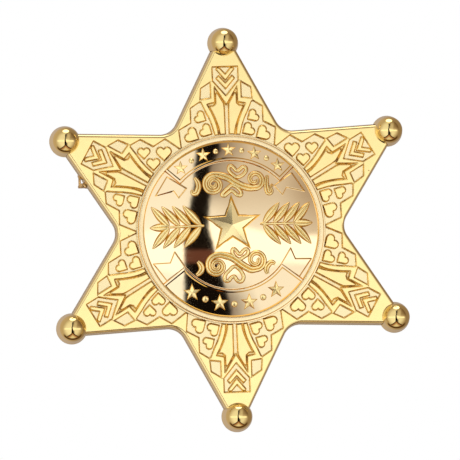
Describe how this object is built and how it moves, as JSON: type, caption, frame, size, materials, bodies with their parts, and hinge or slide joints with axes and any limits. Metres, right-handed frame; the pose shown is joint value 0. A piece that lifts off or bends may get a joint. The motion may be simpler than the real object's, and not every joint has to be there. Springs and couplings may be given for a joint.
{
  "type": "sheriff star badge",
  "caption": "Gold-plated six-pointed star badge with ball tips, sunk heart and leaf ornament, a domed seal with ribbons and laurel, and a bar pin on its back.",
  "frame": {"origin": "below the middle of the star, level with the lowest line of the pin", "axes": "+Z out of the face, +Y towards the top ball, +X to the right as the face is seen"},
  "size_m": [0.0658, 0.075, 0.0089],
  "materials": {
    "star_gold": "bright gold plate on cast zinc, satin face",
    "ball_gold": "mirror gold plate",
    "seal_gold": "mirror gold plate on the dome",
    "pin_gold": "gold-plated steel strip and wire"
  },
  "bodies": {
    "root": {"star_plate": "star_gold", "ball_tip_1": "ball_gold", "ball_tip_2": "ball_gold", "ball_tip_3": "ball_gold", "ball_tip_4": "ball_gold", "ball_tip_5": "ball_gold", "ball_tip_6": "ball_gold", "medallion": "seal_gold", "pin_back": "pin_gold"}
  },
  "joints": []
}
